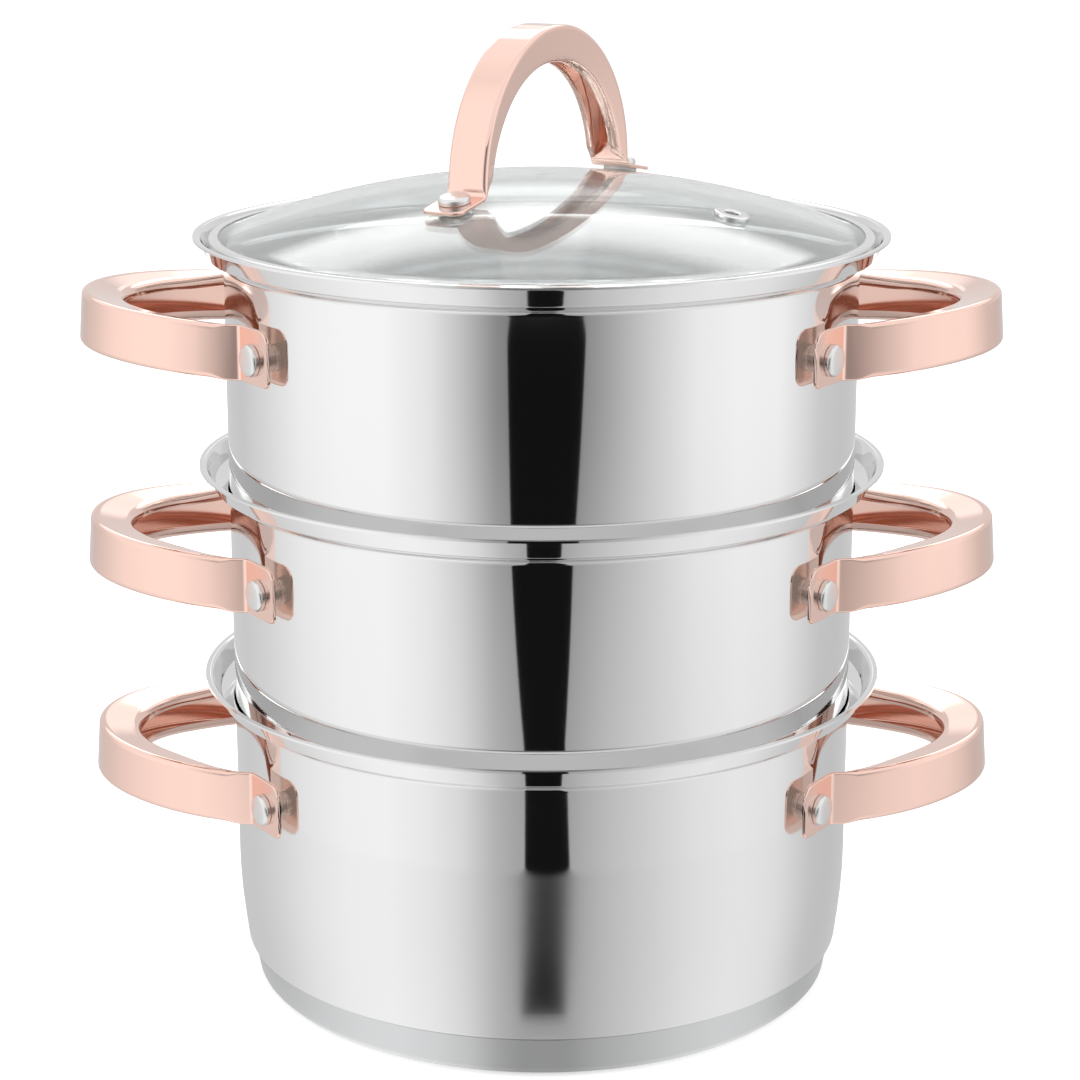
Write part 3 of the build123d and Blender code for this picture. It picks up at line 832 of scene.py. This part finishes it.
# Band: a steel strip folded over the edge of the glass, which drops into the
# seat of the mouth.
BAND_LAP, BAND_EDGE, BAND_SHEET = 121.8, 125.4, 0.5
trim_material = finish_material(
    "band_steel", Base_Color=BRIGHT, Metallic=1.0, Roughness=0.10
)[0]
band_line = rounded(
    [
        (BAND_LAP, BAND_BOTTOM),
        (BAND_EDGE, BAND_BOTTOM),
        (BAND_EDGE, BAND_TOP),
        (BAND_LAP, BAND_TOP),
    ],
    [1.0, 1.0],
)
mesh = bmesh.new()
spin(mesh, thickened(band_line, BAND_SHEET))
finished("lid_band", "lid", trim_material, mesh, ["lid_rim_band"])


def on_dome(radius, turn):
    """Matrix from the z axis to the dome's outward normal there."""
    lean = asin(radius / DOME_RADIUS)
    return (
        Matrix.Translation((0, 0, DOME_CENTRE))
        @ Matrix.Rotation(turn, 4, "Z")
        @ Matrix.Rotation(lean, 4, "Y")
        @ Matrix.Translation((0, 0, DOME_RADIUS))
    )


# Vent: a small flanged eyelet of steel, pressed through the glass to let the
# steam out. Its heights are from the dome's outer face.
VENT_BORE, VENT_TUBE, VENT_FLANGE, VENT_FOOT = 2.6, 3.7, 6.6, 5.6
FLANGE_TOP, FLANGE_BOTTOM = 1.3, 0.05
VENT_FOOT_TOP, VENT_BOTTOM = -4.3, -5.3
VENT_OUT, VENT_TURN = 81.0, radians(-32.0)
mesh = bmesh.new()
vent_outline = rounded(
    [
        (VENT_BORE, VENT_BOTTOM),
        (VENT_BORE, FLANGE_TOP),
        (VENT_FLANGE, FLANGE_TOP),
        (VENT_FLANGE, FLANGE_BOTTOM),
        (VENT_TUBE, FLANGE_BOTTOM),
        (VENT_TUBE, VENT_FOOT_TOP),
        (VENT_FOOT, VENT_FOOT_TOP),
        (VENT_FOOT, VENT_BOTTOM),
        (VENT_BORE, VENT_BOTTOM),
    ],
    [0.6, 0.7, 0, 0, 0, 0.3, 0.3],
)[:-1]
spin(mesh, vent_outline, on_dome(VENT_OUT, VENT_TURN), FIXING_STEPS)
finished("vent_eyelet", "lid", trim_material, mesh, ["lid_vent_eyelet"])

# Lid handle: the same pressed and rolled channel, standing across the dome on
# two tabs that lie along the glass.
LID_TURN, LID_RIVET = radians(60.6), 63.0
LID_REACH, LID_CENTRE = 55.3, LID_LIP + 21.4
LID_HALF_WIDTH, LID_DEPTH, LID_GRIP_RADIUS = 8.3, 14.0, 48.0
LID_EDGE, LID_ROLL, LID_GRIP_LIP, LID_CORNER = 1.8, 2.6, 0.6, 4.0
LID_BEND, GASKET, ARCH_STEPS = 2.0, 1.5, 48
LEG_START = LID_CENTRE - 0.3
LID_SEARCH = (40.0, 40)
# Where the flanges' feet start inside the leg, and their slope
FOOT_INSET, FOOT_RISE, FOOT_RUN = 3.0, 3.4, 5.0
LID_TAB_SHARES = (0.01, 0.03, 0.07, 0.12, 0.18, 0.25, 0.33, 0.6, 0.9)
lid_lean = asin(LID_RIVET / DOME_RADIUS)
tab_height = DOME_RADIUS + GASKET + HANDLE_SHEET
lid_foot = Vector((tab_height * sin(lid_lean), DOME_CENTRE + tab_height * cos(lid_lean)))
lid_along = Vector((-cos(lid_lean), sin(lid_lean)))
lid_end = lid_foot - lid_along * TAB_END
lid_corner = lid_foot + lid_along * (lid_foot.x - LID_REACH) / cos(lid_lean)
arch_line = rounded(
    [lid_end, lid_corner, Vector((LID_REACH, LID_CENTRE))], [LID_BEND], steps=12
)
tab_points = [arch_line[0].lerp(arch_line[1], share) for share in LID_TAB_SHARES]
arch_line = arch_line[:1] + tab_points + arch_line[1:]
for step in range(1, ARCH_STEPS + 1):
    turn = pi / 2 * step / ARCH_STEPS
    arch_line.append(Vector((LID_REACH * cos(turn), LID_CENTRE + LID_REACH * sin(turn))))
arch_line = arch_line + [Vector((-p.x, p.y)) for p in arch_line[::-1][1:]]
GRIP_TOP = LID_CENTRE + LID_REACH - LID_DEPTH
GRIP_MIDDLE = GRIP_TOP - LID_GRIP_RADIUS


def past_lid_grip(spot):
    """Whether a spot on the arch's plane is in the opening for the fingers."""
    out = abs(spot.x)
    foot = (LID_REACH - FOOT_INSET - out) * FOOT_RISE / FOOT_RUN
    round_grip = hypot(out, spot.y - GRIP_MIDDLE) < LID_GRIP_RADIUS
    return round_grip or (spot.y - LID_CENTRE) - foot < 0


mesh = bmesh.new()
stations = []
turn_lid = Matrix.Rotation(LID_TURN, 3, "Z")
lid_path = path_stations(arch_line)
for point, along, distance in lid_path:
    from_end = min(distance, lid_path[-1][2] - distance)
    inward = Vector((-along.y, along.x))
    depth = max(depth_to(past_lid_grip, point, inward, *LID_SEARCH), HANDLE_SHEET)
    if point.y < LEG_START:
        depth = HANDLE_SHEET
    width = LID_HALF_WIDTH - corner_drop(from_end, LID_CORNER)
    outline = channel_section(
        depth, width, width, HANDLE_SHEET, LID_EDGE, LID_ROLL, LID_GRIP_LIP
    )
    stations.append(
        (
            turn_lid @ Vector((point.x, 0, point.y)),
            turn_lid @ Vector((inward.x, 0, inward.y)),
            turn_lid @ Vector((0, -1, 0)),
            outline,
        )
    )
pressed_channel(mesh, stations)
lid_copper = rose_gold("lid_rose_gold")
finished("lid_arch_handle", "lid", lid_copper, mesh, ["lid_handle"])

# Handle fixings on the lid: a silicone gasket over the glass, a steel washer
# under it, and a rivet through both.
GASKET_BOTTOM, GASKET_EDGE, WASHER_EDGE = 0.1, 6.5, 6.0
WASHER_BOTTOM, WASHER_TOP = -5.4, -4.2
LID_FOOT_BOTTOM, LID_FOOT_TOP = -6.9, -5.5
LID_HEAD_BOTTOM, LID_HEAD_TOP = 2.75, 5.75
gasket_material = finish_material(
    "gasket_silicone", Base_Color=(0.78, 0.78, 0.77, 1), Roughness=0.55
)[0]
gaskets, washers, rivets = bmesh.new(), bmesh.new(), bmesh.new()
for turn in (LID_TURN, LID_TURN + pi):
    for mesh, outline in (
        (gaskets, ring_outline(GASKET_EDGE, GASKET_BOTTOM, GASKET, 0.3)),
        (washers, ring_outline(WASHER_EDGE, WASHER_BOTTOM, WASHER_TOP, 0.2)),
        (
            rivets,
            rivet_outline(LID_FOOT_BOTTOM, LID_FOOT_TOP, LID_HEAD_BOTTOM, LID_HEAD_TOP),
        ),
    ):
        spin(mesh, outline, on_dome(LID_RIVET, turn), FIXING_STEPS)
finished("lid_gasket_pads", "lid", gasket_material, gaskets, ["lid_gaskets"])
finished("lid_backing", "lid", trim_material, washers, ["lid_washers"])
finished("lid_rivet_heads", "lid", rivet_material, rivets, ["lid_rivets"])

# Studio: a white floor, broad soft lights and a black card flat on the floor in
# front, whose reflection stands as a dark stripe in the polished walls. Metal and
# glass see the surroundings in tones that darken towards the card and behind.
# Each tone is a direction in degrees, 0 towards the camera, and a brightness; the
# near and far tones are of the floor within 0.25 m and beyond 1.4 m.
MIRRORED = 1.2
WORLD_LIGHT = 0.75
OVERHEAD, OVERHEAD_BEHIND, WALL_BEHIND = 0.9, 0.1, 0.82
PANEL_GLOW, STRIP_GLOW = 1.6, 0.43
NEAR_END, FAR_START = 0.25, 1.4
FLOOR_WHITE, FLOOR_LIFT = (0.82, 0.82, 0.82, 1), 0.45
LIGHTS_AIM = Vector((0, 0, 0.15))
FAR_TONES = (
    (-180, 0.56), (-140, 0.58), (-117, 0.74), (-95, 0.94), (-75, 1.0), (-57, 1.0),
    (-40, 0.85), (-28, 0.58), (-16, 0.28), (-8, 0.20), (10, 0.20), (23, 0.39),
    (39, 0.65), (56, 0.89), (74, 0.96), (94, 0.94), (119, 0.64), (140, 0.56), (180, 0.56),
)
NEAR_TONES = (
    (-180, 0.56), (-145, 0.60), (-122, 0.69), (-99, 0.84), (-78, 0.94), (-59, 0.96),
    (-42, 0.88), (-29, 0.75), (-17, 0.50), (-8, 0.40), (10, 0.40), (24, 0.55),
    (41, 0.68), (58, 0.80), (77, 0.86), (98, 0.81), (125, 0.57), (145, 0.54), (180, 0.56),
)


def toned(turn, tones):
    """Brightness of the surroundings by a direction in degrees, 0 in front."""
    stops = [((angle + 180) / 360, grey(level)) for angle, level in tones]
    return turn.add("ShaderNodeValToRGB", {"stops": stops}, {"Fac": (turn + 180) / 360})


def bearing(across, ahead):
    """Direction of a spot in degrees, 0 in front."""
    return across.math("ARCTAN2", ahead * -1) * (180 / pi)


def mirror_rays(rays):
    """1 where metal or glass looks, and 0 for the camera and the lighting."""
    return rays.pick("Is Glossy Ray").math("MAXIMUM", rays.pick("Is Transmission Ray"))


floor_material = bpy.data.materials.new("white_floor")
floor_material.use_nodes = True
tree = floor_material.node_tree
tree.nodes.clear()
start = Wire(tree)
rays = start.add("ShaderNodeLightPath")
place = start.add("ShaderNodeTexCoord").pick("Object")
parts = start.add("ShaderNodeSeparateXYZ", {}, {"Vector": place})
distance = place.add(
    "ShaderNodeVectorMath", {"operation": "LENGTH"}, {0: place}, out="Value"
).math("MAXIMUM", WALL * MM)
# A round wall throws a near spot of the floor further round than a far one
shrink = 1 - WALL * MM / 2 * distance.math("POWER", -1.0)
bowed = bearing(parts.pick("X"), parts.pick("Y")) / shrink
near = 1 - distance.between(NEAR_END, FAR_START)
around = start.add(
    "ShaderNodeMix",
    {"data_type": "FLOAT"},
    {"Factor": near, "A": toned(bowed, FAR_TONES), "B": toned(bowed, NEAR_TONES)},
)
plain = start.add("ShaderNodeBsdfDiffuse", {}, {"Color": FLOOR_WHITE})
lift = rays.pick("Is Camera Ray") * FLOOR_LIFT
glow = start.add("ShaderNodeEmission", {}, {"Color": grey(1), "Strength": lift})
lit = start.add("ShaderNodeAddShader", {}, {0: plain, 1: glow})
mirrored = start.add("ShaderNodeEmission", {}, {"Color": around, "Strength": MIRRORED})
both = start.add("ShaderNodeMixShader", {}, {0: mirror_rays(rays), 1: lit, 2: mirrored})
start.add("ShaderNodeOutputMaterial", {}, {"Surface": both})
bpy.ops.mesh.primitive_plane_add(size=12, location=(0, 0, 0))
floor_plane = bpy.context.object
floor_plane.name = "studio_floor"
floor_plane.data.materials.append(floor_material)

card_material, shader, start = finish_material(
    "black_card", Base_Color=(0.006, 0.006, 0.006, 1), Roughness=1.0
)
shader.inputs["Specular IOR Level"].default_value = 0.0
CARD_LEFT = (
    (-12, -150), (-22, -250), (-29, -333), (-37, -415), (-48, -494),
    (-142, -820), (-312, -1540), (-306, -1680), (-266, -1760),
)
CARD_RIGHT = (
    (14, -150), (30, -250), (48, -333), (58, -415), (63, -494),
    (147, -820), (405, -1540), (395, -1680), (345, -1760),
)
corners = [(x * MM, y * MM, 0.001) for x, y in CARD_RIGHT + CARD_LEFT[::-1]]
card_data = bpy.data.meshes.new("reflection_card")
card_data.from_pydata(corners, [], [tuple(range(len(corners)))])
card_data.materials.append(card_material)
card = bpy.data.objects.new("reflection_card", card_data)
bpy.context.scene.collection.objects.link(card)
card.visible_camera = False
card.visible_diffuse = False
card.visible_shadow = False


def soft_light(name, place, size, power):
    """Broad light that shapes the object, and isn't seen in its metal."""
    data = bpy.data.lights.new(name, "AREA")
    data.shape = "RECTANGLE"
    data.size, data.size_y = size
    data.energy = power
    light = bpy.data.objects.new(name, data)
    bpy.context.scene.collection.objects.link(light)
    light.location = place
    light.visible_glossy = False
    aim = LIGHTS_AIM - Vector(place)
    light.rotation_euler = aim.to_track_quat("-Z", "Y").to_euler()


soft_light("left_light", (-1.6, -0.6, 1.1), (1.2, 1.6), 14)
soft_light("right_light", (1.6, -0.5, 1.2), (1.2, 1.6), 14)
soft_light("top_light", (0, 0.2, 2.2), (2.2, 2.2), 18)

world = bpy.data.worlds.new("studio")
world.use_nodes = True
bpy.context.scene.world = world
start = Wire(world.node_tree)
shade = world.node_tree.nodes["Background"]
rays = start.add("ShaderNodeLightPath")
place = start.add("ShaderNodeTexCoord").pick("Generated")
parts = start.add("ShaderNodeSeparateXYZ", {}, {"Vector": place})
around = toned(bearing(parts.pick("X"), parts.pick("Y")), FAR_TONES)
# Overhead the sky is pale. Behind the object it is a white wall, with a bright
# panel high up that the lid's arch shows, and a narrow strip low down for its glass.
height = parts.pick("Z")
aside = parts.pick("X").math("ABSOLUTE")
above = height.between(0.36, 0.42)
behind = parts.pick("Y").between(0.1, 0.5)
panel = height.between(0.4, 0.48) * (1 - height.between(0.58, 0.68))
panel = panel * (1 - aside.between(0.26, 0.4))
strip = height.between(0.2, 0.28) * (1 - aside.between(0.04, 0.06))
sky = around.math("MAXIMUM", above * OVERHEAD) * MIRRORED
extra = above * OVERHEAD_BEHIND + panel * PANEL_GLOW + strip * STRIP_GLOW
sky = sky.math("MAXIMUM", behind * WALL_BEHIND) + behind * extra
seen = start.add(
    "ShaderNodeMix",
    {"data_type": "FLOAT"},
    {"Factor": mirror_rays(rays), "A": WORLD_LIGHT, "B": sky},
)
shade.inputs["Color"].default_value = grey(1)
feed(shade, "Strength", seen + rays.pick("Is Camera Ray") * (1 - WORLD_LIGHT))

# Camera: at the photograph's viewing angle, looking down on the lid a little.
camera_data = bpy.data.cameras.new("photo_camera")
camera_data.lens = 94.11
camera_data.sensor_width = 36
camera_data.clip_start = 0.01
camera = bpy.data.objects.new("photo_camera", camera_data)
bpy.context.scene.collection.objects.link(camera)
camera.location = (-0.00064, -1.0616, 0.4544)
camera.rotation_euler = (radians(75.20), 0, 0)
bpy.context.scene.camera = camera
bpy.context.scene.view_settings.view_transform = "Standard"
